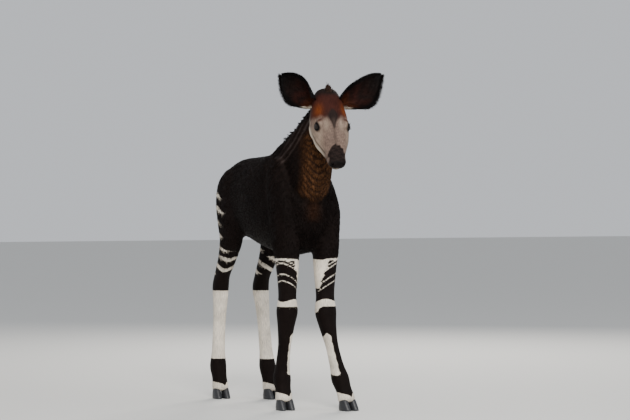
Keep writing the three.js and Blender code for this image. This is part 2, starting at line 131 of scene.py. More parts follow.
HINDLEG_LEFT = [(-282, 56, 868, 22, 40, 40), (-276, 70, 820, 36, 74, 84), (-262, 76, 740, 42, 88, 96),
    (-240, 80, 665, 42, 76, 82), (-240, 80, 600, 38, 60, 60), (-268, 76, 525, 31, 39, 45),
    (-302, 72, 462, 28, 29, 41), (-316, 71, 416, 31, 33, 39), (-308, 72, 362, 28, 29, 30),
    (-296, 74, 280, 24, 24, 27), (-280, 76, 175, 26, 25, 29), (-270, 77, 120, 32, 31, 35),
    (-256, 78, 76, 29, 26, 30), (-247, 79, 40, 32, 29, 32), (-245, 79, 26, 26, 21, 26)]
HINDLEG_RIGHT = [(-288, -56, 866, 22, 40, 40), (-282, -70, 818, 36, 74, 84), (-272, -76, 738, 42, 86, 94),
    (-258, -80, 662, 42, 74, 82), (-266, -80, 600, 38, 58, 60), (-306, -76, 528, 31, 38, 45),
    (-350, -73, 468, 28, 29, 40), (-370, -72, 422, 31, 33, 39), (-372, -73, 366, 28, 29, 30),
    (-376, -75, 280, 24, 24, 27), (-380, -77, 175, 26, 25, 29), (-380, -78, 120, 32, 31, 35),
    (-366, -79, 76, 29, 26, 30), (-357, -80, 40, 32, 29, 32), (-355, -80, 26, 26, 21, 26)]
# along the head from the poll, top, bottom, half width
HEAD = [(-22, -34, -62, 16), (-8, -10, -86, 40), (25, 1, -112, 54), (66, 4, -132, 63),
        (108, 2, -137, 68), (147, -6, -130, 67), (186, -16, -121, 61), (222, -24, -101, 48),
        (254, -29, -84, 37), (280, -31, -75, 34), (297, -36, -68, 27), (305, -45, -59, 13)]
# forward, up
TAIL_PATH = [(-350, 850), (-388, 838), (-412, 800), (-420, 740), (-418, 615)]
POLL = at(318, 22, 1148)
HEAD_PITCH, HEAD_TURN = math.radians(57), math.radians(13)
EYE_ALONG, EYE_DOWN, EYE_OUT, EYE_RADIUS = 145, -32, 50, 15
SIDES = {"left": 1, "right": -1}
LEGS = {"foreleg_left": FORELEG_LEFT, "foreleg_right": FORELEG_RIGHT,
        "hindleg_left": HINDLEG_LEFT, "hindleg_right": HINDLEG_RIGHT}
turn_head = Matrix.Rotation(-HEAD_TURN, 3, "Z") @ Matrix.Rotation(HEAD_PITCH, 3, "X")
HEAD_AXES = np.array(turn_head)


def on_head(along, down, out):
    return POLL + np.stack(np.broadcast_arrays(out, -np.asarray(along, float), down), -1) @ HEAD_AXES.T


def in_head(points):
    f, l, u = to_calf(points)
    x, y, z = ((at(f, l, u) - POLL) @ HEAD_AXES).T
    return -y, z, x


# %% [markdown]
# A loft runs smoothly through its stations. A grid is rolled up into a tube, its seam is welded, and its
# two ends are filled, so the operators make the faces and the stations only say where they go.

# %% Lofts
SQUARENESS = 2.2


def through(points, t):
    p = np.asarray(points, float)
    last = len(p) - 1
    i = min(int(t * last), last - 1)
    w = t * last - i
    p0 = p[i - 1] if i else 2 * p[0] - p[1]
    p1, p2 = p[i], p[i + 1]
    p3 = p[i + 2] if i + 2 <= last else 2 * p[last] - p[last - 1]
    d0, d1, d2 = (max(np.linalg.norm(b - a), 1e-4) ** 0.5 for a, b in ((p0, p1), (p1, p2), (p2, p3)))
    t1 = ((p1 - p0) / d0 - (p2 - p0) / (d0 + d1) + (p2 - p1) / d1) * d1
    t2 = ((p2 - p1) / d1 - (p3 - p1) / (d1 + d2) + (p3 - p2) / d2) * d1
    return p1 + t1 * w + (3 * (p2 - p1) - 2 * t1 - t2) * w**2 + (2 * (p1 - p2) + t1 + t2) * w**3


def tube(bm, rings):
    rows, sides = len(rings), len(rings[0])
    grid = bmesh.ops.create_grid(bm, x_segments=rows - 1, y_segments=sides, size=1)["verts"]
    for v in grid:
        i = round((v.co.x + 1) / 2 * (rows - 1))
        j = round((v.co.y + 1) / 2 * sides)
        v.co = rings[i][j % sides]
    bmesh.ops.remove_doubles(bm, verts=grid, dist=1e-4)
    rim = [e for e in bm.edges if e.is_boundary]
    bmesh.ops.holes_fill(bm, edges=rim, sides=0)


def loft(bm, a, b, size, rows, sides, grow):
    rings = []
    for k in range(rows + 1):
        t = k / rows
        middle = [(through(a, s) + through(b, s)) / 2 for s in (max(0, t - 0.02), min(1, t + 0.02))]
        travel = unit(middle[1] - middle[0])
        top, bottom = through(a, t), through(b, t)
        wide, widest, square = through(size, t)
        rise = unit(top - bottom)
        side = unit(np.cross(rise, travel))
        end = -grow if k == 0 else grow if k == rows else 0
        centre = bottom + (top - bottom) * widest + travel * end
        up = top + rise * grow + travel * end - centre
        down = bottom - rise * grow + travel * end - centre
        turn = np.arange(sides) / sides * 2 * math.pi
        across = np.sign(np.cos(turn)) * np.abs(np.cos(turn)) ** (2 / square) * (wide + grow)
        height = np.abs(np.sin(turn)) ** (2 / square)
        reach = np.where(np.sin(turn)[:, None] > 0, up, down)
        rings.append(centre + across[:, None] * side + height[:, None] * reach)
    tube(bm, rings)


def girth(half_width, widest):
    return np.stack(np.broadcast_arrays(half_width, widest, SQUARENESS), -1)


def leg_lines(rows):
    rows = np.asarray(rows, float)
    path = at(rows[:, 0], rows[:, 1], rows[:, 2])
    run = unit(np.concatenate([path[1:], path[-1:]]) - np.concatenate([path[:1], path[:-1]]))
    ahead = at(1, 0, 0)
    front = unit(ahead - run * (run @ ahead)[:, None])
    size = girth(rows[:, 3], rows[:, 5] / (rows[:, 4] + rows[:, 5]))
    return path + front * rows[:, 4:5], path - front * rows[:, 5:6], size


def ball(bm, centre, radii, turn=Matrix.Identity(3), detail=32):
    place = Matrix.Translation(Vector(centre)) @ turn.to_4x4() @ Matrix.Diagonal(Vector((*radii, 1)))
    bmesh.ops.create_uvsphere(bm, u_segments=detail, v_segments=detail // 2, radius=1, matrix=place)


def add_object(name, data):
    made = bpy.data.objects.new(name, data)
    bpy.context.scene.collection.objects.link(made)
    return made


def mesh_object(name, bm):
    mesh = bpy.data.meshes.new(name)
    bm.to_mesh(mesh)
    bm.free()
    return add_object(name, mesh)


def piece(name, bm):
    to_metres = Matrix.Scale(0.001, 4) @ Matrix.Translation(Vector(-MIDDLE))
    bmesh.ops.recalc_face_normals(bm, faces=bm.faces)
    bmesh.ops.transform(bm, matrix=to_metres, verts=bm.verts)
    return mesh_object(name, bm)


def dress(made, material):
    made.data.materials.clear()
    made.data.materials.append(material)
    made.data.shade_smooth()


def settle(made):
    depsgraph = bpy.context.evaluated_depsgraph_get()
    mesh = bpy.data.meshes.new_from_object(made.evaluated_get(depsgraph))
    made.modifiers.clear()
    made.data = mesh
    return made


# %% [markdown]
# The trunk, neck, legs and tail are lofted a coat's depth inside the solids. A voxel remesh then melts them
# into one closed surface, and smoothing rounds the creases where a limb leaves the body.

# %% Body blank
DEPTH_BODY, DEPTH_LEG, DEPTH_FACE = 3.0, 1.4, 1.0
# the cells that the body and the head are melted in, in metres
CELL_BODY, CELL_HEAD = 0.0057, 0.0019


def melt(made, cell):
    remesh = made.modifiers.new("melt", "REMESH")
    remesh.mode = "VOXEL"
    remesh.voxel_size = cell


def soften(made, name, iterations, group="", factor=0.5):
    rounding = made.modifiers.new(name, "SMOOTH")
    rounding.factor, rounding.iterations, rounding.vertex_group = factor, iterations, group


bm = bmesh.new()
trunk = np.asarray(TRUNK, float)
loft(bm, at(trunk[:, 0], 0, trunk[:, 1]), at(trunk[:, 0], 0, trunk[:, 2]),
     girth(trunk[:, 3], 0.46), 60, 72, -DEPTH_BODY)
neck = np.asarray(NECK, float)
NAPE, THROAT = at(neck[:, 0], neck[:, 4], neck[:, 1]), at(neck[:, 2], neck[:, 4], neck[:, 3])
loft(bm, NAPE, THROAT, girth(neck[:, 5], 0.45), 48, 64, -DEPTH_BODY)
for rows in LEGS.values():
    loft(bm, *leg_lines(rows), 70, 40, -DEPTH_LEG)
tail = np.asarray(TAIL_PATH, float)
TAIL = at(tail[:, 0], 0, tail[:, 1])
tail_rings = []
for t in np.linspace(0, 1, 30):
    run = unit(through(TAIL, min(1, t + 0.02)) - through(TAIL, max(0, t - 0.02)))
    back = unit(np.cross(run, at(0, 1, 0)))
    turn = np.arange(20) / 20 * 2 * math.pi
    radius = np.interp(t, (0, 0.25, 0.5, 0.75, 1), (15, 14, 11, 9, 8)) - 2
    ring = np.cos(turn)[:, None] * at(0, 1, 0) + np.sin(turn)[:, None] * back
    tail_rings.append(through(TAIL, t) + radius * ring)
tube(bm, tail_rings)
body = piece("skin", bm)
melt(body, CELL_BODY)
settle(body)
upper = body.vertex_groups.new(name="upper")
upper.add([v.index for v in body.data.vertices if v.co.z > 0.5], 1, "REPLACE")
soften(body, "round", 16, "upper")
soften(body, "finish", 3)
settle(body)
print("body blank:", len(body.data.vertices), "points")

# %% [markdown]
# The head gets the most care. A skull is lofted, and brows, cheeks, lids, lips, nostril rims and a chin are
# melted into it at a finer voxel. The eye openings, nostrils and the line of the mouth are then cut crisp.

# %% Head blank
head = np.asarray(HEAD, float)
bm = bmesh.new()
loft(bm, on_head(head[:, 0], head[:, 1], 0), on_head(head[:, 0], head[:, 2], 0),
     girth(head[:, 3], 0.52), 72, 72, -DEPTH_FACE)
for s in SIDES.values():
    ball(bm, on_head(EYE_ALONG, EYE_DOWN, s * EYE_OUT), [EYE_RADIUS + 1.6] * 3)
    brow = turn_head @ Matrix.Rotation(math.radians(s * 14), 3, "Z")
    ball(bm, on_head(EYE_ALONG - 15, EYE_DOWN + 9, s * (EYE_OUT - 5)), (14, 21, 10), brow)
    ball(bm, on_head(EYE_ALONG + 17, EYE_DOWN - 12, s * (EYE_OUT - 4)), (10, 22, 8), brow)
    ball(bm, on_head(112, -94, s * 45), (20, 46, 32), turn_head)
    ball(bm, on_head(282, -44, s * 19), (12.5, 17, 11), turn_head)
    ball(bm, on_head(270, -58, s * 20), (13, 24, 10), turn_head)
ball(bm, on_head(279, -70, 0), (21, 20, 9.5), turn_head)
ball(bm, on_head(290, -52, 0), (19, 12, 11), turn_head)
face = piece("head_blank", bm)
melt(face, CELL_HEAD)
soften(face, "round", 9)
settle(face)
print("head blank:", len(face.data.vertices), "points")

# %% Cuts in the head
LID_OPENING = (9.5, 12.5, 8.5)
# along the head, down from its top
MOUTH = [(228, -73), (244, -69), (262, -65.5), (280, -62.5), (325, -61)]


def carve(target, name, shapes):
    for number, shape in enumerate(shapes):
        bm = bmesh.new()
        shape(bm)
        tool = piece(f"{name}_{number}", bm)
        cutter = target.modifiers.new(name, "BOOLEAN")
        cutter.operation, cutter.solver, cutter.object = "DIFFERENCE", "MANIFOLD", tool
        settle(target)
        bpy.data.objects.remove(tool)


def mouth_wedge(bm):
    rings = []
    for h, v in MOUTH:
        half = 0.35 + 3.0 * (h - 228) / 97
        corners = [(-60, -half), (60, -half), (60, half), (-60, half)]
        rings.append(np.array([on_head(h, v + dv, x) for x, dv in corners]))
    tube(bm, rings)


def lid_place(s):
    tilt = Matrix.Rotation(math.radians(-12), 3, "X") @ Matrix.Rotation(math.radians(-s * 28), 3, "Y")
    return on_head(EYE_ALONG + 4, EYE_DOWN + 7, s * (EYE_OUT + 13.5)), turn_head @ tilt


def lid_opening(s):
    centre, tilt = lid_place(s)
    return lambda bm: ball(bm, centre, LID_OPENING, tilt, 40)


def socket(s):
    return lambda bm: ball(bm, on_head(EYE_ALONG, EYE_DOWN, s * EYE_OUT), [EYE_RADIUS + 0.15] * 3, detail=40)


def nostril(s):
    slant = turn_head @ Matrix.Rotation(s * 0.6, 3, "Z") @ Matrix.Rotation(0.5, 3, "X")
    return lambda bm: ball(bm, on_head(294, -41, s * 18), (4.2, 10, 3.4), slant, 24)


paired = [shape(s) for shape in (socket, lid_opening, nostril) for s in (1, -1)]
carve(face, "cut", [*paired, mouth_wedge])
union = body.modifiers.new("join", "BOOLEAN")
union.operation, union.solver, union.object = "UNION", "MANIFOLD", face
settle(body)
bpy.data.objects.remove(face)

# %% [markdown]
# Only the largest closed surface is kept. The join of head and neck is smoothed away, the chest gets its
# groove between the forelegs, and the throat gets shallow folds.

# %% One skin
def keep_outer_shell(made):
    bm = bmesh.new()
    bm.from_mesh(made.data)
    left = set(bm.verts)
    shells = []
    while left:
        stack = [left.pop()]
        shell = set(stack)
        while stack:
            for e in stack.pop().link_edges:
                for v in e.verts:
                    if v in left:
                        left.discard(v)
                        shell.add(v)
                        stack.append(v)
        shells.append(shell)
    shells.sort(key=len)
    for shell in shells[:-1]:
        bmesh.ops.delete(bm, geom=list(shell), context="VERTS")
    bmesh.ops.triangulate(bm, faces=[f for f in bm.faces if len(f.verts) > 4])
    bm.to_mesh(made.data)
    bm.free()
    return len(shells)


print("shells:", keep_outer_shell(body))


def coordinates(mesh):
    co = np.empty(len(mesh.vertices) * 3, np.float32)
    mesh.vertices.foreach_get("co", co)
    return co.reshape(-1, 3).astype(float)


NECK_LOW = at(60, 0, 790)
NECK_RUN, NECK_FRONT = unit(at(256, 0, 280)), unit(at(280, 0, -256))


def throat_swirl(L, U):
    return 0.5 + 0.5 * np.sin((U - 0.020 * L**2) / 3.7 + 0.8 * np.sin(L / 24 + U / 60) + 0.9 * np.sin(U / 31))


co = coordinates(body.data)
h, v, x = in_head(co)
seam = body.vertex_groups.new(name="seam")
nape_side = smooth(75, 35, h) * (v < -30) + smooth(-112, -128, v) * smooth(165, 120, h)
close = np.where((h > -60) & (h < 175) & (np.abs(x) < 90) & (nape_side > 0.02), np.clip(nape_side, 0, 1), 0)
for i in np.flatnonzero(close > 0.02):
    seam.add([int(i)], float(close[i]), "REPLACE")
soften(body, "blend", 22, "seam", 0.6)
settle(body)
body.vertex_groups.clear()
co = coordinates(body.data)
F, L, U = to_calf(co)
groove = 6 * np.exp(-((L / 10) ** 2)) * smooth(120, 170, F) * smooth(556, 590, U) * smooth(730, 690, U)
co[:, 1] += groove / 1000
on_throat = smooth(20, 60, (at(F, L, U) - NECK_LOW) @ NECK_FRONT) * smooth(735, 775, U)
folds = 1.8 * (throat_swirl(L, U) - 0.5) * on_throat * smooth(1010, 960, U) * smooth(80, 50, np.abs(L))
co = co + to_row(MIDDLE + folds[:, None] * NECK_FRONT)
body.data.vertices.foreach_set("co", co.astype(np.float32).ravel())
body.data.update()
print("skin:", sum(len(f.vertices) - 2 for f in body.data.polygons), "triangles")

# %% [markdown]
# Markings and hair both follow the parts of the body, so each point learns which part it is on, how far it
# is along that part, and how far round. These smooth numbers drive every pattern, and they are also the
# unwrap that the coat is baked on.

# %% Part coordinates
PARTS = ["torso", "neck", "head", *LEGS, "tail", "ears"]
TORSO, NECK_PART, SKULL, TAIL_PART, EARS = (PARTS.index(n) for n in ("torso", "neck", "head", "tail", "ears"))


def nearest_part(points):
    depsgraph = bpy.context.evaluated_depsgraph_get()
    far = np.full(len(points), 9.0)
    part = np.zeros(len(points), int)
    for number, name in enumerate(PARTS[:EARS]):
        tree = BVHTree.FromObject(bpy.data.objects[name], depsgraph)
        for i, p in enumerate(points):
            hit = tree.find_nearest(p, far[i])
            if hit[3] is not None and hit[3] < far[i]:
                far[i], part[i] = hit[3], number
    return part


def leg_place(F, L, U, rows):
    rows = np.asarray(rows, float)[::-1]
    centre_f, centre_l, wide, front, back = (np.interp(U, rows[:, 2], rows[:, k]) for k in (0, 1, 3, 4, 5))
    return (F - centre_f) / ((front + back) / 2), (L - centre_l) / wide, (front + back + 2 * wide) / 4


def part_place(points, part):
    F, L, U = to_calf(points)
    h, v, x = in_head(points)
    middle = np.interp(F, trunk[:, 0], (trunk[:, 1] + trunk[:, 2]) / 2)
    rel = at(F, L, U) - NECK_LOW
    up_neck = rel @ NECK_RUN
    places = [(F, U - middle, L, 115),
              (up_neck, rel @ NECK_FRONT, L - np.interp(up_neck, (0, 380), (0, 30)), 85),
              (h, v + 60, x, 50)]
    places += [(U, *leg_place(F, L, U, rows)) for rows in LEGS.values()]
    places.append((U, F + 405, L, 12))
    every = np.array([np.stack(np.broadcast_arrays(*place)) for place in places])
    along, ahead, side, radius = every[part, :, np.arange(len(part))].T
    return along, ahead, side, np.arctan2(side, ahead), radius


# where each part starts and ends along itself
SPANS = [(-410, 260), (-60, 420), (-30, 320), *[(20, 920)] * 2, *[(20, 890)] * 2, (500, 880), (-20, 200)]


def unwrap(part, along, round_by):
    low, high = np.array(SPANS, float).T
    u = (part % 3 + 0.04 + 0.92 * (round_by + math.pi) / (2 * math.pi)) / 3
    v = (part // 3 + 0.04 + 0.92 * np.clip((along - low[part]) / (high - low)[part], 0, 1)) / 3
    return np.stack([u, v], -1)


part = nearest_part(co)
along, ahead, side, round_by, radius = part_place(co, part)
print("points on each part:", np.bincount(part, minlength=EARS).tolist())

# %% [markdown]
# An okapi is nearly black, with a grey-brown neck, a rust throat, a pale face with a dark muzzle and a
# reddish forehead. White patches and stripes break up the legs and rump. The tones vary softly, so they
# are a colour at each point. The white has crisp edges, so it is held as a distance from the edge, in
# millimetres, that the material turns into hair-fine borders.

# %% Tones
DARK, BROWN = np.array([0.0066, 0.0040, 0.0034]), np.array([0.024, 0.0130, 0.0095])
# The ochre is a painted highlight for the crests of the throat folds, over the throat's own rust.
RUST, OCHRE_FOLD_HIGHLIGHT = np.array([0.040, 0.0150, 0.0062]), np.array([0.120, 0.052, 0.020])
TAUPE, BEIGE = np.array([0.150, 0.104, 0.083]), np.array([0.34, 0.26, 0.195])
FORE, BLAZE = np.array([0.034, 0.0098, 0.0070]), np.array([0.150, 0.036, 0.0085])
# The lilac is a painted sheen on the dark hair of the neck's sides.
LILAC_SHEEN = np.array([0.060, 0.046, 0.043])
BLACK, CREAM = np.array([0.0040, 0.0032, 0.0032]), np.array([0.62, 0.53, 0.42])
# the distance stored where there is no white, in millimetres
NO_WHITE = -20.0


def mix(a, b, t):
    return a + (b - a) * np.clip(t, 0, 1)[:, None]


def bump(x, middle, spread):
    return np.exp(-(((x - middle) / spread) ** 2))


def all_over(tone, count):
    return np.tile(tone, (count, 1))


def body_tones(points, part):
    F, L, U = to_calf(points)
    _, front, across, _, _ = part_place(points, np.full(len(points), NECK_PART))
    wave = 0.5 + 0.5 * np.sin(front / 4.2 + across / 7 + 2.2 * np.sin(U / 41) + 0.8 * np.sin(F / 17))
    swirl = throat_swirl(L, U)
    tone = mix(all_over(DARK, len(points)), BROWN, 0.16 * wave * smooth(700, 900, U))
    neck_up = smooth(730, 830, U) * smooth(60, 150, F)
    neck_side = smooth(-90, -20, front) * smooth(30, -10, front) * smooth(100, 76, np.abs(across))
    tone = mix(tone, BROWN * 0.8, neck_up * neck_side * 0.6)
    # Lilac streaks on the sides of the neck are a painted sheen on the dark hair.
    tone = mix(tone, LILAC_SHEEN, neck_up * neck_side * 0.75 * wave**3)
    edge = 10 * np.sin(U / 19) + 8 * wave
    throat = smooth(2, 40, front + edge) * smooth(742, 768, U - 0.010 * L**2) * smooth(74, 52, np.abs(across))
    # The throat's rust is its own colour. The ochre on the crests of its folds is a painted highlight, and
    # the dark in the troughs between them is painted shade.
    tone = mix(tone, mix(all_over(RUST, len(points)), OCHRE_FOLD_HIGHLIGHT, swirl**2 * 0.9), 0.92 * throat * (part != SKULL))
    tone = mix(tone, DARK, 0.9 * throat * (1 - swirl) ** 1.5)
    patch = bump(L, 0, 26) * smooth(670, 700, U) * smooth(765, 735, U) * smooth(170, 215, F)
    return mix(tone, RUST * 0.9, 0.55 * patch)


def head_tones(points):
    F, L, U = to_calf(points)
    h, v, x = in_head(points)
    out = np.abs(x)
    speck = np.sin(h / 2.3 + 2 * np.sin(x / 3.1)) * np.sin(x / 1.9 + h / 6)
    head = all_over(TAUPE, len(points)) * (1 + 0.22 * speck)[:, None]
    head = mix(head, BEIGE, 0.55 * smooth(34, 54, out) * smooth(105, 150, h) * smooth(275, 235, h))
    head = mix(head, BEIGE, 0.55 * bump(out, 27, 9) * bump(h, 150, 20) * (v > -50))
    stripe = v + 98 - 0.20 * (h - 120)
    head = mix(head, CREAM, bump(stripe, 0, 17) * smooth(80, 110, h) * smooth(262, 235, h))
    head = mix(head, BROWN * 1.4, 0.8 * bump(stripe, 23, 3) * smooth(140, 165, h) * smooth(262, 240, h))
    head = mix(head, FORE, smooth(146, 124, h + 0.5 * out + 3 * np.sin(x / 4)))
    head = mix(head, BLAZE, 0.95 * bump(out, 47, 13) * bump(h, 86, 26) * (v > -66))
    head = mix(head, DARK * 1.6, 0.85 * smooth(36, 10, h) + 0.35 * bump(out, 0, 22) * smooth(62, 22, h))
    diamond = bump(out, 0, 4 + 13 * bump(h, 118, 21)) * smooth(84, 104, h) * smooth(176, 146, h)
    head = mix(head, DARK * 2.2, 1.9 * diamond * (v > -50))
    # A darker line down the middle of the face is painted shade along the nose ridge.
    painted_ridge_shade = bump(out, 0, 7) * smooth(118, 135, h) * smooth(232, 212, h)
    head = mix(head, TAUPE * 0.4, 0.5 * painted_ridge_shade * (v > -60))
    brow = h - (EYE_ALONG - 16 + 0.35 * (out - EYE_OUT))
    head = mix(head, FORE * 1.3, 0.95 * bump(brow, 0, 6) * bump(out, EYE_OUT - 2, 12) * (v > -55))
    lid = np.full(len(points), 9.0)
    for centre, tilt in map(lid_place, (1, -1)):
        lid = np.minimum(lid, np.linalg.norm((at(F, L, U) - centre) @ np.array(tilt) / LID_OPENING, axis=1))
    # The dark taupe ring round each lid opening is painted shade of the eye's hollow. The black inside it is
    # the lids' own dark skin.
    head = mix(head, TAUPE * 0.4, 0.75 * smooth(2.3, 1.75, lid))
    head = mix(head, BLACK, smooth(1.72, 1.5, lid))
    head = mix(head, BROWN * 0.9, smooth(-118, -136, v) * smooth(200, 150, h))
    under_ear = bump(v + 82 - 0.3 * (h - 70), 0, 9) * smooth(46, 62, h) * smooth(118, 88, h)
    head = mix(head, CREAM * 0.8, 0.75 * under_ear * (out > 30))
    mouth = v - np.interp(h, *np.transpose(MOUTH))
    nose = np.hypot((np.minimum(h, 278) - 264) / 40, x / 31) + 0.06 * np.sin(x / 3 + h / 4)
    head = mix(head, DARK * 1.9 * (1 + 0.7 * speck[:, None]), smooth(1.12, 0.90, nose) * smooth(-2, 4, mouth))
    head = mix(head, BLACK, smooth(284, 292, h) * smooth(0, 5, mouth) * 0.8)
    lip = bump(mouth, 5.5, 1.8) * smooth(236, 250, h) * smooth(22, 14, np.abs(x) - 8)
    head = mix(head, BEIGE * 0.6, 0.6 * lip)
    head = mix(head, BLACK * 1.6, smooth(2.5, 0.5, mouth) * smooth(250, 266, h) * smooth(-100, -92, v))
    # The pale front of the lower lip is partly its own colour and partly a painted wet highlight.
    head = mix(head, CREAM * 0.8, 1.3 * bump(mouth, -4.2, 3.2) * smooth(281, 290, h) * bump(x, 2, 12))
    return mix(all_over(DARK * 1.5, len(points)), head, smooth(-4, 16, h))


def tones(points, part):
    return np.where((part == SKULL)[:, None], head_tones(points), body_tones(points, part))


# %% White markings
# height on the foreleg, slope round it, half thickness
FORELEG_LINES = [(537, 4, 3.2), (513, 26, 2.4), (497, 30, 2.6), (462, 26, 2.3), (440, 24, 2.0)]
HOOF_TOP = 28


def band(U, low, high):
    return np.minimum(U - low, high - U)


def foreleg_white(U, c):
    ragged = 0.07 * np.sin(U / 5) + 0.05 * np.sin(U / 2.3)
    medial = (0.34 - 0.85 * (535 - U) / 100 - c + ragged) * 30
    here = np.minimum(band(U, 434, 536 - 3 * c), medial)
    for level, slope, thick in FORELEG_LINES:
        line = (thick - np.abs(U - level - slope * c)) * smooth(1.9, 0.9, np.abs(c))
        here = np.maximum(here, np.minimum(line, (c + 0.25 + (513 - level) / 160) * 30))
    knee_low = 346 + 26 * smooth(-1.0, -0.1, c) + 3 * np.sin(U / 3)
    knee = band(U, knee_low, 397 - 12 * (c - 0.1) ** 2)
    strip = np.minimum(band(U, 124, 276) - 12 * (c + 0.4) ** 2, (0.16 - c + ragged * 0.5) * 24)
    strip = np.minimum(strip, 276 - U - 26 * np.abs(c + 0.25))
    return np.maximum(here, np.maximum(knee, strip))


def hindleg_white(U, a, outward):
    shank = np.minimum(band(U, 150, 408), (0.45 - 0.4 * a + 0.2 * outward) * 24 + 6)
    shift = 16 * a + 8 * np.sin(outward * 2)
    stripes = np.where(U > 470, 7.5 * np.sin((U + shift) / 6.6) - 3.4, NO_WHITE)
    return np.maximum(shank, stripes)


def white_edge(points, part):
    F, L, U = to_calf(points)
    edge = np.full(len(points), NO_WHITE)
    for name, rows in LEGS.items():
        a, s, _ = leg_place(F, L, U, rows)
        outward = s if rows[0][1] > 0 else -s
        fore = name.startswith("foreleg")
        here = foreleg_white(U, 0.5 * a + 0.87 * outward) if fore else hindleg_white(U, a, outward)
        lobes = 55 + 9 * np.abs(s) - 9 * bump(s, 0.25, 0.16) * (a > 0)
        here = np.maximum(NO_WHITE, np.maximum(here, band(U, HOOF_TOP, lobes)))
        edge = np.where((part == PARTS.index(name)) & (U < (560 if fore else 800)), here, edge)
    taper = 9 * np.clip((F + 326 + 22 * np.sin(U / 13)) / 110, 0, 1) ** 1.5
    stripes = 8 * np.sin((U + 16 * (F + 260) / 90 + 6 * np.sin(F / 23)) / 7.4) - 3.6 - taper
    rump = np.minimum(np.minimum(stripes, smooth(800, 770, U) * 40 - 20), U - 540)
    hind = [PARTS.index(n) for n in ("torso", "hindleg_left", "hindleg_right")]
    return np.where(np.isin(part, hind) & (U > 540), rump, edge)


tone = tones(co, part)
pale = white_edge(co, part)
h, v, x = in_head(co)
wet = (part == SKULL) * smooth(252, 285, h) * smooth(-30, -45, v)
print("white points:", int((pale > 0).sum()), "of", len(pale))


# %% Store the fields on a mesh
def store(mesh, tone, pale, comb, wet):
    colour = mesh.attributes.new("tone", "FLOAT_COLOR", "POINT")
    colour.data.foreach_set("color", np.column_stack([tone, np.ones(len(tone))]).astype(np.float32).ravel())
    for name, values in (("pale", pale), ("wet", wet)):
        mesh.attributes.new(name, "FLOAT", "POINT").data.foreach_set("value", np.asarray(values, np.float32))
    lie_of_hair = mesh.attributes.new("comb", "FLOAT_VECTOR", "POINT")
    lie_of_hair.data.foreach_set("vector", comb.astype(np.float32).ravel())


comb = np.stack([along, round_by * radius, part * 400.0], -1)
store(body.data, tone, pale, comb, wet)

# %% [markdown]
# One node group turns those fields into a coat: it breaks the white's edge into hair ends, draws streaks
# along the lie of the hair, and mottles the whole softly. The skin and every lock of hair use it, so that
# a marking runs from one to the other unbroken.

# %% Coat group
WHITE_HAIR = (0.70, 0.63, 0.53, 1)
WET_ROUGHNESS = 0.3


def plug(tree, node, inputs):
    for socket, value in inputs.items():
        if isinstance(value, bpy.types.NodeSocket):
            tree.links.new(value, node.inputs[socket])
        else:
            node.inputs[socket].default_value = value


def add_node(tree, kind, inputs, **settings):
    made = tree.nodes.new("ShaderNode" + kind)
    for name, value in settings.items():
        setattr(made, name, value)
    plug(tree, made, inputs)
    return made


def remap(tree, value, low, high, to_low=0.0, to_high=1.0):
    spans = {"Value": value, "From Min": low, "From Max": high, "To Min": to_low, "To Max": to_high}
    return add_node(tree, "MapRange", spans).outputs[0]


def coat_group():
    tree = bpy.data.node_groups.new("coat markings", "ShaderNodeTree")
    for name, kind in (("Tone", "Color"), ("Edge", "Float"), ("Comb", "Vector"),
                       ("Place", "Vector"), ("Fray", "Float")):
        tree.interface.new_socket(name, in_out="INPUT", socket_type="NodeSocket" + kind)
    for name, kind in (("Colour", "Color"), ("Height", "Float")):
        tree.interface.new_socket(name, in_out="OUTPUT", socket_type="NodeSocket" + kind)
    given, made = tree.nodes.new("NodeGroupInput"), tree.nodes.new("NodeGroupOutput")
    tone, edge, comb, place, fray = given.outputs[:5]
    stretch = add_node(tree, "VectorMath", {0: comb, 1: (0.055, 0.75, 1.0)}, operation="MULTIPLY")
    streaks = add_node(tree, "TexNoise", {"Vector": stretch.outputs[0], "Scale": 1.0,
                                          "Detail": 4, "Distortion": 0.4}).outputs[0]
    ends = add_node(tree, "TexNoise", {"Vector": place, "Scale": 260})
    mottle = add_node(tree, "TexNoise", {"Vector": place, "Scale": 17, "Detail": 5})
    off = add_node(tree, "Math", {0: ends.outputs[0], 1: 0.5}, operation="SUBTRACT")
    frayed = add_node(tree, "Math", {0: off.outputs[0], 1: fray, 2: edge}, operation="MULTIPLY_ADD")
    white = remap(tree, frayed.outputs[0], -0.7, 0.7)
    blend = add_node(tree, "Mix", {0: white, 6: tone, 7: WHITE_HAIR}, data_type="RGBA")
    light = remap(tree, streaks, 0.3, 0.7, 0.62, 1.38)
    patchy = remap(tree, mottle.outputs[0], 0.3, 0.7, 0.78, 1.22)
    both = add_node(tree, "Math", {0: light, 1: patchy}, operation="MULTIPLY")
    shade = add_node(tree, "VectorMath", {0: blend.outputs[2], "Scale": both.outputs[0]}, operation="SCALE")
    plug(tree, made, {"Colour": shade.outputs[0], "Height": streaks})
    return tree


markings = coat_group()


def new_material(name, inputs):
    material = bpy.data.materials.new(name)
    material.use_nodes = True
    shader = material.node_tree.nodes["Principled BSDF"]
    plug(material.node_tree, shader, inputs)
    return material, material.node_tree, shader


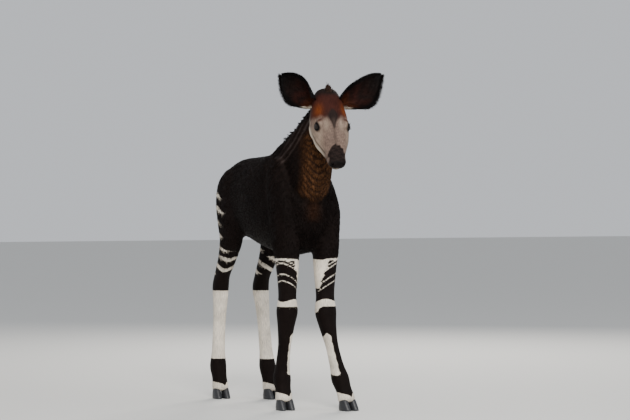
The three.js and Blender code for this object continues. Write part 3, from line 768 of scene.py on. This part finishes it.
def coat_material(name, roughness, relief, fray):
    material, tree, shader = new_material(name, {"Roughness": roughness, "Specular IOR Level": 0.06})

    def read(field, output):
        return add_node(tree, "Attribute", {}, attribute_name=field).outputs[output]

    fields = {"Tone": read("tone", "Color"), "Edge": read("pale", "Fac"), "Comb": read("comb", "Vector"),
              "Place": add_node(tree, "TexCoord", {}).outputs["Object"], "Fray": fray}
    group = add_node(tree, "Group", fields, node_tree=markings)
    plug(tree, shader, {"Base Color": group.outputs["Colour"]})
    if relief:
        raised = add_node(tree, "Bump", {"Strength": relief, "Distance": 0.0016,
                                         "Height": group.outputs["Height"]})
        rough = remap(tree, read("wet", "Fac"), 0, 1, roughness, WET_ROUGHNESS)
        plug(tree, shader, {"Normal": raised.outputs[0], "Roughness": rough})
    return material


SKIN = coat_material("skin under the coat", 0.62, 0.5, 5)
HAIR = coat_material("coat hair", 0.48, 0, 1)
dress(body, SKIN)
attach(body, "root")
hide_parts("torso", "neck", "head", "tail", *LEGS)

# %% [markdown]
# A tuft is a slender three-sided cone with one bend in it, and a lock has three. Operators make one of each,
# and thousands of copies are then stamped over the skin: each lies along the coat, leans out a little, and
# takes the colour found at its root. Short hair is mostly relief in the skin's material, so the tufts only
# have to break its outline.

# %% One tuft and one lock
def cone_lock(sections, slim):
    bm = bmesh.new()
    bmesh.ops.create_cone(bm, cap_ends=True, cap_tris=True, segments=3, radius1=0.5, radius2=0, depth=1)
    bmesh.ops.translate(bm, verts=bm.verts, vec=(0, 0, 0.5))
    bmesh.ops.remove_doubles(bm, verts=bm.verts, dist=1e-5)
    for k in range(1, sections):
        level = k / sections
        whole = bm.verts[:] + bm.edges[:] + bm.faces[:]
        bmesh.ops.bisect_plane(bm, geom=whole, plane_co=(0, 0, level), plane_no=(0, 0, 1))
        for v in bm.verts:
            if abs(v.co.z - level) < 1e-4:
                v.co.x *= slim / (1 - level) * (1 - level) ** 0.55
                v.co.y *= slim / (1 - level) * (1 - level) ** 0.55
    bmesh.ops.triangulate(bm, faces=bm.faces)
    bmesh.ops.recalc_face_normals(bm, faces=bm.faces)
    bm.verts.index_update()
    points = np.array([v.co[:] for v in bm.verts])
    corners = np.array([[v.index for v in f.verts] for f in bm.faces])
    bm.free()
    return points, corners


TUFT = cone_lock(2, 0.9)
LOCK = cone_lock(4, 1.0)
print("a tuft has", len(TUFT[1]), "triangles, a lock", len(LOCK[1]))


# %% Stamping copies
def stamp(name, shape, root, way, normal, size, droop, fields, spot):
    points, corners = shape
    count = len(root)

    def each(values):
        return np.repeat(np.asarray(values, float), len(points), axis=0)

    across = unit(np.cross(way, normal))
    out = unit(np.cross(across, way))
    length, width, thick = (np.broadcast_to(np.asarray(s, float), count)[:, None, None] / 1000 for s in size)
    px, py, pz = (points[None, :, k, None] for k in range(3))
    fall = np.broadcast_to(np.asarray(droop, float), count)[:, None, None]
    co = root[:, None] + across[:, None] * px * width + way[:, None] * pz * length
    co = co + out[:, None] * (py * thick - fall * length * pz**2)
    made = bpy.data.meshes.new(name)
    faces = (corners[None] + np.arange(count)[:, None, None] * len(points)).reshape(-1)
    made.vertices.add(count * len(points))
    made.vertices.foreach_set("co", co.astype(np.float32).ravel())
    made.loops.add(len(faces))
    made.loops.foreach_set("vertex_index", faces.astype(np.int32))
    made.polygons.add(len(faces) // 3)
    made.polygons.foreach_set("loop_start", np.arange(0, len(faces), 3, dtype=np.int32))
    made.update(calc_edges=True)
    tone, pale, comb = fields
    run = np.tile(points[:, 2], count)[:, None] * np.array([[9.0, 0, 0]])
    shade = 0.72 + 0.5 * np.tile(points[:, 2], count)[:, None]
    store(made, each(tone) * shade, each(pale), each(comb) + run, np.zeros(count * len(points)))
    flat = np.stack([points[:, 0], points[:, 2] - 0.5], -1) * 0.003
    uv = (each(spot).reshape(count, -1, 2) + flat[None]).reshape(-1, 2)
    made.uv_layers.new(name="OFBake").data.foreach_set("uv", uv[faces].astype(np.float32).ravel())
    made.materials.append(HAIR)
    coat = add_object(name, made)
    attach(coat, "root")
    print(name, count, "locks,", len(faces) // 3, "triangles")
    return coat


# %% [markdown]
# The coat's lie is a direction at every point of the skin: down the legs, back along the body, down the
# neck, and up the face from nose to poll. It is pressed flat against the skin before a tuft is tilted out.

# %% Lie of the coat
def lie(points, part, normal):
    F, L, U = to_calf(points)
    way = np.tile(at(-1, 0, -0.45), (len(points), 1))
    throat = smooth(150, 240, F)[:, None]
    on_neck = at(-0.66, 0, -0.75) * (1 - throat) + at(-0.15, 0, -1) * throat
    way = np.where((part == NECK_PART)[:, None], on_neck, way)
    way = np.where((part == SKULL)[:, None], np.array([0, 1, 0]) @ HEAD_AXES.T, way)
    way = np.where(((part > SKULL) & (part < TAIL_PART))[:, None], at(-0.25, 0, -1), way)
    way = np.where((part == TAIL_PART)[:, None], at(0, 0, -1), way)
    chest = ((part == TORSO) & (F > 190))[:, None]
    way = np.where(chest, at(0, 0, -1), way)
    return unit(way - normal * (way * normal).sum(-1, keepdims=True))


def skin_triangles(mesh):
    mesh.calc_loop_triangles()
    corners = np.empty(len(mesh.loop_triangles) * 3, np.int32)
    mesh.loop_triangles.foreach_get("vertices", corners)
    normals = np.empty(len(mesh.vertices) * 3, np.float32)
    mesh.vertices.foreach_get("normal", normals)
    return corners.reshape(-1, 3), normals.reshape(-1, 3).astype(float)


corners, normals = skin_triangles(body.data)
a, b, c = co[corners[:, 0]], co[corners[:, 1]], co[corners[:, 2]]
area = np.linalg.norm(np.cross(b - a, c - a), axis=1) / 2
triangle_part = part[corners[:, 0]]
middle_h, middle_v, middle_x = in_head((a + b + c) / 3)
print("skin area by part:", [round(float(area[triangle_part == k].sum()), 3) for k in range(EARS)])


def scatter(corners, share, count):
    pick = rng.choice(len(corners), count, p=share / share.sum())
    w = rng.dirichlet((1, 1, 1), count)

    def found(field):
        return sum(field[corners[pick, k]] * w[:, k, None] for k in range(3))

    return pick, found


def strands(tone, low, high, count):
    shades = tone * rng.uniform(low, high, (count, 1))
    return shades, np.full(count, NO_WHITE), rng.uniform(0, 200, (count, 3))


def coat(name, which, count, length, width, tilt, droop=0.10):
    pick, found = scatter(corners, area * which, count)
    root, normal = found(co), unit(found(normals))
    own = part[corners[pick, 0]]
    way = lie(root, own, normal)
    way = unit(way + np.cross(normal, way) * rng.normal(0, 0.16, count)[:, None])
    lean = np.radians(tilt) * rng.uniform(0.6, 1.4, count)[:, None]
    way = way * np.cos(lean) + normal * np.sin(lean)
    fields = tones(root, own) * rng.uniform(0.8, 1.3, count)[:, None], white_edge(root, own), found(comb)
    s, _, _, turn, _ = part_place(root, own)
    size = length * rng.uniform(0.7, 1.25, count), width * rng.uniform(0.8, 1.2, count), width * 0.45
    return stamp(name, TUFT, root - normal * 0.0008, way, normal, size, droop, fields, unwrap(own, s, turn))


# %% Lay the coat
def on(*names):
    return np.isin(triangle_part, [PARTS.index(n) for n in names])


# where one piece of the coat ends and the next begins, in metres
WAIST, SHOULDER_LEVEL, THIGH_LEVEL, HOOF_LEVEL = 0.02, 0.56, 0.5, 0.03
backward, height = co[corners[:, 0], 1], co[corners[:, 0], 2]
fore, hind = on("foreleg_left", "foreleg_right"), on("hindleg_left", "hindleg_right")
above_hoof = height > HOOF_LEVEL
eye_gap = np.hypot(middle_h - EYE_ALONG, middle_v - EYE_DOWN) < 21
bare = on("head") & ((eye_gap & (np.abs(middle_x) > 40)) | (middle_h > 262))
coat("coat_trunk_front", on("torso") & (backward < WAIST), 12500, 15, 3.6, 13)
coat("coat_trunk_back", on("torso") & (backward >= WAIST), 12500, 16, 3.8, 13)
coat("coat_neck", on("neck", "tail"), 14500, 14, 2.5, 15)
coat("coat_shoulders", fore & (height > SHOULDER_LEVEL), 9500, 13, 2.8, 12)
coat("coat_thighs", hind & (height > THIGH_LEVEL), 10500, 12, 2.4, 12)
coat("coat_forelegs", fore & (height <= SHOULDER_LEVEL) & above_hoof, 14500, 7.5, 1.6, 9)
coat("coat_hindlegs", hind & (height <= THIGH_LEVEL) & above_hoof, 10500, 7.5, 1.8, 9)
coat("coat_face", on("head") & ~bare, 15500, 5.0, 1.1, 11)

# %% [markdown]
# The ears are thin cups that stand clear of the head, so they are skins of their own, rolled from the same
# leaf as the solids'. Their rims carry a soft fringe, and their roots are buried in the hair of the head.

# %% Ear cups
EAR_LENGTH, EAR_WALL = 190, 3.6
EAR_FULLNESS = {1: 0.29, -1: 0.0}
EAR_ALONG, EAR_DOWN, EAR_OUT = 44, -42, 47
# share of the length, half width, half angle of the roll
EAR_LEAF = [(0, 24, 125), (0.14, 40, 98), (0.34, 53.0, 70), (0.52, 51.9, 58),
            (0.7, 41.3, 52), (0.86, 24.4, 48), (0.96, 9.5, 46), (1, 3, 46)]
# degrees that it rises, lean back, turn of its mouth outward
EAR_HELD = {"left": (38, 0.39, 0.12), "right": (45, 0.72, 0.39)}
LOOK, ASIDE = at(0.883, -0.469, 0), at(0.469, 0.883, 0)


def ear_axes(side, rise, back, opened):
    rise = math.radians(rise)
    y = unit(ASIDE * side * math.cos(rise) + at(0, 0, math.sin(rise)) - LOOK * back)
    z = LOOK + ASIDE * side * opened
    z = unit(z - y * (z @ y))
    return np.stack([np.cross(y, z), y, z]), on_head(EAR_ALONG, EAR_DOWN, side * EAR_OUT)


def ear_point(side, t, p, inset):
    s, half, roll = through(EAR_LEAF, t)
    angle = math.radians(roll)
    r0 = half / math.sin(min(angle, math.pi / 2))
    r = r0 - inset
    bulge = side * EAR_FULLNESS[side] * half * math.sin(math.pi * s)
    crinkle = 0.9 * math.sin(p * 11 + 4 * s) * math.sin(math.pi * s)
    depth = r0 - r * math.cos(p * angle) + 16 * s * s + crinkle
    return np.array([bulge + r * math.sin(p * angle), s * EAR_LENGTH, depth])


def ear_spot(local, side):
    turn = np.arctan2(local[:, 0], local[:, 2] - 40) * 0.45 + side * 1.6
    return unwrap(np.full(len(local), EARS), local[:, 1], turn)


def ear_cup(name, side, *held):
    axes, base = ear_axes(side, *held)
    bm = bmesh.new()
    rings = []
    for t in np.linspace(0, 1, 60):
        half = through(EAR_LEAF, t)[1]
        wall = min(EAR_WALL - 0.8, half * 0.45)
        p = np.linspace(-1, 1, 31)
        outer = [ear_point(side, t, q, 0.4) for q in p]
        inner = [ear_point(side, t, q, 0.4 + wall) for q in p[::-1]]
        rings.append(base + np.array(outer + inner) @ axes)
    tube(bm, rings)
    made = piece(name, bm)
    points = coordinates(made.data)
    local = (points * 1000 + MIDDLE - base) @ axes.T
    s = np.clip(local[:, 1] / EAR_LENGTH, 0, 1)
    shape = np.array([through(EAR_LEAF, t) for t in np.linspace(0, 1, 80)])
    half = np.interp(s, shape[:, 0], shape[:, 1])
    across = (local[:, 0] - side * EAR_FULLNESS[side] * half * np.sin(math.pi * s)) / np.maximum(half, 4)
    cloud = 0.5 + 0.5 * np.sin(local[:, 1] / 9 + 2 * np.sin(local[:, 0] / 11))
    tone = mix(all_over(DARK, len(s)), FORE * 0.8, (0.25 + 0.6 * cloud) * smooth(0.8, 0.3, s))
    tone = mix(tone, BLAZE * 0.3, 0.8 * smooth(0.3, 0.1, s))
    tone = mix(tone, BLACK, smooth(0.60, 0.88, np.abs(across)) + smooth(0.76, 0.95, s))
    tone = mix(tone, CREAM * 0.6, 0.85 * smooth(0.09, 0.02, s) * smooth(0.2, 0.6, across * side))
    comb = np.stack([local[:, 1], local[:, 0], np.full(len(s), 3200.0)], -1)
    store(made.data, tone, np.full(len(s), NO_WHITE), comb, np.zeros(len(s)))
    dress(made, SKIN)
    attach(made, "root")
    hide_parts(name.replace("cup_", "ear_"))
    return made, axes, base


RIM_HAIRS, EAR_HAIRS = 1150, 4000


def fringe(name, side, axes, base):
    roots, ways, faces, lengths = [], [], [], []
    for q in (-1, 1):
        for t in np.sort(rng.uniform(0.10, 0.999, RIM_HAIRS)):
            inset = rng.uniform(0, 2.2)
            edge = ear_point(side, t, q * 0.985, inset)
            outward = unit(edge - ear_point(side, t, q * 0.7, inset))
            up = unit(ear_point(side, min(1, t + 0.02), q * 0.985, inset) - edge)
            way = outward + rng.normal(0.45, 0.4) * up + np.array([0, 0, rng.normal(0, 0.4)])
            roots.append(edge - outward * 2)
            ways.append(unit(way))
            faces.append(unit(np.cross(outward, up)))
            lengths.append(rng.uniform(6, 14) * (1.25 if side * q > 0 else 0.6))
    roots, ways, faces = (np.array(g) @ axes for g in (roots, ways, faces))
    count = len(roots)
    fields = all_over(DARK * 0.8, count), np.full(count, NO_WHITE), rng.uniform(0, 200, (count, 3))
    droop = rng.uniform(-0.2, 0.3, count)
    return stamp(name, LOCK, to_row(base + roots), ways, faces, (lengths, 1.0, 0.5), droop, fields,
                 ear_spot(roots @ axes.T, side))


def ear_hair(name, side, made, axes, base, count):
    ear_co = coordinates(made.data)
    tri, normal = skin_triangles(made.data)
    a, b, c = (ear_co[tri[:, k]] for k in range(3))
    _, found = scatter(tri, np.linalg.norm(np.cross(b - a, c - a), axis=1), count)
    root, n = found(ear_co), unit(found(normal))
    shades = np.empty(len(ear_co) * 4, np.float32)
    made.data.attributes["tone"].data.foreach_get("color", shades)
    way = unit(axes[1] - n * (n @ axes[1])[:, None])
    way = unit(way * 0.96 + n * 0.28 + np.cross(n, way) * rng.normal(0, 0.3, count)[:, None])
    fields = strands(found(shades.reshape(-1, 4)[:, :3]), 0.7, 1.3, count)
    spot = ear_spot((root * 1000 + MIDDLE - base) @ axes.T, side)
    return stamp(name, TUFT, root, way, n, (rng.uniform(5, 9, count), 1.1, 0.5), 0.05, fields, spot)


for name, side in SIDES.items():
    cup, axes, base = ear_cup(f"cup_{name}", side, *EAR_HELD[name])
    fringe(f"fringe_{name}", side, axes, base)
    ear_hair(f"ear_hair_{name}", side, cup, axes, base, EAR_HAIRS)

# %% [markdown]
# A calf's mane is a low crest of short locks down the nape, and its tail ends in a thin tuft. Both follow
# the locks of the solids, with many more and finer ones. Lashes shade each eye.

# %% Mane, tuft and lashes
count = 2300
t = rng.uniform(0.20, 0.965, count)
nape = np.array([through(NAPE, k) for k in t])
run = unit(np.array([through(NAPE, min(1, k + 0.02)) - through(NAPE, k - 0.02) for k in t]))
left = at(0, 1, 0)
rise = unit(np.cross(left, run))
rise = rise * np.sign(rise[:, 2:3])
spread = rng.normal(0, 4.5, count)[:, None]
sweep = rng.uniform(0.7, 1.15, count)[:, None]
sway = spread * 0.03 + rng.normal(0, 0.1, count)[:, None]
way = unit(rise - run * sweep + left * sway)
fade = np.minimum(1, np.minimum(5 * (1 - t), 6 * (t - 0.12)))
clump = 1 + 0.12 * np.sin(t * 130)
fields = strands(DARK * 1.3, 0.7, 1.8, count)
spot = unwrap(np.full(count, NECK_PART), t * 420, rng.uniform(2.6, 3.1, count))
facing = unit(left + run * rng.normal(0, 0.35, count)[:, None])
length = 27 * fade * clump * rng.uniform(0.78, 1.04, count)
root = to_row(nape - rise * 7 + left * spread)
stamp("mane", LOCK, root, way, facing, (length, 6.5, 2.2), rng.normal(0, 0.15, count), fields, spot)

count = 130
aside = rng.normal(0, 5.5, count)
root = on_head(rng.uniform(-2, 18, count), -3, aside)
way = unit(at(-0.1, aside * 0.03, 1) + rng.normal(0, 0.16, (count, 3)))
fields = strands(BROWN * 1.3, 0.6, 1.3, count)
spot = unwrap(np.full(count, SKULL), rng.uniform(0, 20, count), rng.uniform(-0.3, 0.3, count))
length = (9 + 15 * bump(aside, 0, 5)) * rng.uniform(0.7, 1.05, count)
stamp("forelock", LOCK, to_row(root), way, all_over(at(1, 0, 0), count), (length, 3, 1.6), 0.1, fields, spot)

count = 260
t = rng.uniform(0.55, 1, count)
turn = rng.uniform(0, 2 * math.pi, count)
outward = at(np.sin(turn), np.cos(turn), 0)
root = np.array([through(TAIL, k) for k in t]) + outward * 4
way = unit(at(0, 0, -1) + outward * rng.uniform(0.02, 0.16, count)[:, None])
fields = strands(DARK, 0.7, 1.6, count)
spot = unwrap(np.full(count, TAIL_PART), 700 - 200 * t, turn - math.pi)
length = 90 * (0.35 + 0.6 * t) * rng.uniform(0.8, 1.05, count)
stamp("tail_tuft", LOCK, to_row(root), way, outward, (length, 5, 2.5), 0.06, fields, spot)

for name, s in SIDES.items():
    count = 34
    a = np.linspace(math.radians(15), math.radians(165), count)
    root = on_head(EYE_ALONG + 3 - 11.5 * np.cos(a), EYE_DOWN + 7 + 7.5 * np.sin(a),
                   s * (EYE_OUT + 10 - 4 * np.sin(a)))
    way = on_head(-0.5 * np.cos(a) + 0.3, 0.5 * np.sin(a) + 0.1, s * 0.8) - POLL
    normal = all_over(on_head(0, 1, 0) - POLL, count)
    fields = all_over(BLACK, count), np.full(count, NO_WHITE), np.zeros((count, 3))
    spot = unwrap(np.full(count, SKULL), 150.0 + np.arange(count) * 0.3, np.full(count, s * 1.2))
    stamp(f"lashes_{name}", LOCK, to_row(root), unit(way), normal, (8.0, 0.7, 0.5), -0.25, fields, spot)

# %% [markdown]
# The eyes are large, dark and wet. A smooth ball with a slight cornea takes a near-black clouded with deep
# brown, under a clear coat that catches the lights.

# %% Eyes
wet_eye, tree, shader = new_material("wet eye", {"Roughness": 0.3, "Specular IOR Level": 0.2,
                                                "Coat Weight": 0.35, "Coat Roughness": 0.02})
where = add_node(tree, "TexCoord", {}).outputs["Object"]
clouds = add_node(tree, "TexNoise", {"Vector": where, "Scale": 380})
iris = add_node(tree, "Mix", {0: clouds.outputs[0], 6: (0.004, 0.003, 0.003, 1),
                              7: (0.020, 0.009, 0.005, 1)}, data_type="RGBA")
plug(tree, shader, {"Base Color": iris.outputs[2]})
for name, s in SIDES.items():
    bm = bmesh.new()
    ball(bm, on_head(EYE_ALONG, EYE_DOWN, s * EYE_OUT), [EYE_RADIUS - 0.1] * 3, detail=48)
    ball(bm, on_head(EYE_ALONG + 1, EYE_DOWN, s * (EYE_OUT + 5.2)), [10.6] * 3, detail=40)
    eye = piece(f"eyeball_{name}", bm)
    dress(eye, wet_eye)
    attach(eye, "root")
    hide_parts(f"eye_{name}")

# %% [markdown]
# Hooves are dull slate-grey horn with fine growth rings round them. Each is rounded from its own solid.

# %% Hooves
horn, tree, shader = new_material("hoof horn", {"Roughness": 0.42})
where = add_node(tree, "TexCoord", {}).outputs["Object"]
rings = add_node(tree, "Mapping", {"Vector": where, "Scale": (18, 18, 420)})
growth = add_node(tree, "TexNoise", {"Vector": rings.outputs[0], "Scale": 1, "Detail": 6}).outputs[0]
grey = add_node(tree, "Mix", {0: growth, 6: (0.007, 0.007, 0.008, 1),
                              7: (0.034, 0.035, 0.040, 1)}, data_type="RGBA")
ridges = add_node(tree, "Bump", {"Strength": 0.5, "Distance": 0.0008, "Height": growth})
plug(tree, shader, {"Base Color": grey.outputs[2], "Normal": ridges.outputs[0]})
for name in [n for n in frame["nodes"] if n.startswith("hoof_")]:
    bm = bmesh.new()
    bm.from_mesh(bpy.data.objects[name].data)
    bmesh.ops.remove_doubles(bm, verts=bm.verts, dist=1e-6)
    crease = bm.edges.layers.float.new("crease_edge")
    for e in bm.edges:
        on_floor = all(v.co.z < 1e-5 for v in e.verts)
        if on_floor and any(f.normal.z > -0.9 for f in e.link_faces):
            e[crease] = 0.8
    made = mesh_object(name + "_horn", bm)
    rounder = made.modifiers.new("round", "SUBSURF")
    rounder.levels = rounder.render_levels = 2
    settle(made)
    dress(made, horn)
    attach(made, "root")
    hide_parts(name)

# %% [markdown]
# The stage is a plain pale floor under soft studio light. The camera stands 8 m off, in front of the calf
# and to its right, a little above half its height.

# %% Floor, lights and camera
# in metres, just under the soles
FLOOR_HALF, FLOOR_DROP = 30, 0.0005
bm = bmesh.new()
bmesh.ops.create_grid(bm, x_segments=1, y_segments=1, size=FLOOR_HALF)
floor = mesh_object("floor", bm)
floor.location.z = -FLOOR_DROP
pale_floor = new_material("pale floor", {"Base Color": (0.62, 0.62, 0.60, 1), "Roughness": 0.9})[0]
floor.data.materials.append(pale_floor)

world = bpy.data.worlds.new("studio")
bpy.context.scene.world = world
world.use_nodes = True
sky = world.node_tree.nodes["Background"]
plug(world.node_tree, sky, {"Color": (0.92, 0.95, 1.0, 1), "Strength": 0.7})


# the lights point at the middle of the calf, in metres
AIM = Vector((0, 0, 0.7))


def area_light(name, place, watts, size, colour):
    lamp = bpy.data.lights.new(name, "AREA")
    lamp.energy, lamp.size, lamp.color = watts, size, colour
    made = add_object(name, lamp)
    made.location = place
    made.rotation_euler = (AIM - Vector(place)).to_track_quat("-Z", "Y").to_euler()


area_light("key", (-1.6, -3.8, 3.6), 210, 1.6, (1.0, 0.97, 0.92))
area_light("fill", (2.6, -3.6, 1.8), 45, 2.4, (0.93, 0.96, 1.0))
area_light("rim", (2.2, 2.8, 2.8), 150, 1.6, (1.0, 0.95, 0.88))

# the photo's width and the focal length, both in its pixels
PHOTO_WIDTH, FOCAL = 630, 2180
# where the camera stands, in millimetres, and which way it looks, in degrees
CAMERA_AWAY, CAMERA_ASIDE, CAMERA_UP = 8000, 121, 752
VIEW_TURN, VIEW_DIP = -28, 0.263
view_turn = math.radians(VIEW_TURN)
back = np.array([math.sin(view_turn), -math.cos(view_turn), 0])
right = np.array([math.cos(view_turn), math.sin(view_turn), 0])
lens = bpy.data.cameras.new("camera")
lens.sensor_width = 36
lens.lens = FOCAL / PHOTO_WIDTH * lens.sensor_width
lens.clip_end = 100
camera = add_object("camera", lens)
camera.location = Vector((back * CAMERA_AWAY + right * CAMERA_ASIDE - MIDDLE + at(0, 0, CAMERA_UP)) / 1000)
camera.rotation_euler = (math.radians(90 - VIEW_DIP), 0, view_turn)
bpy.context.scene.camera = camera
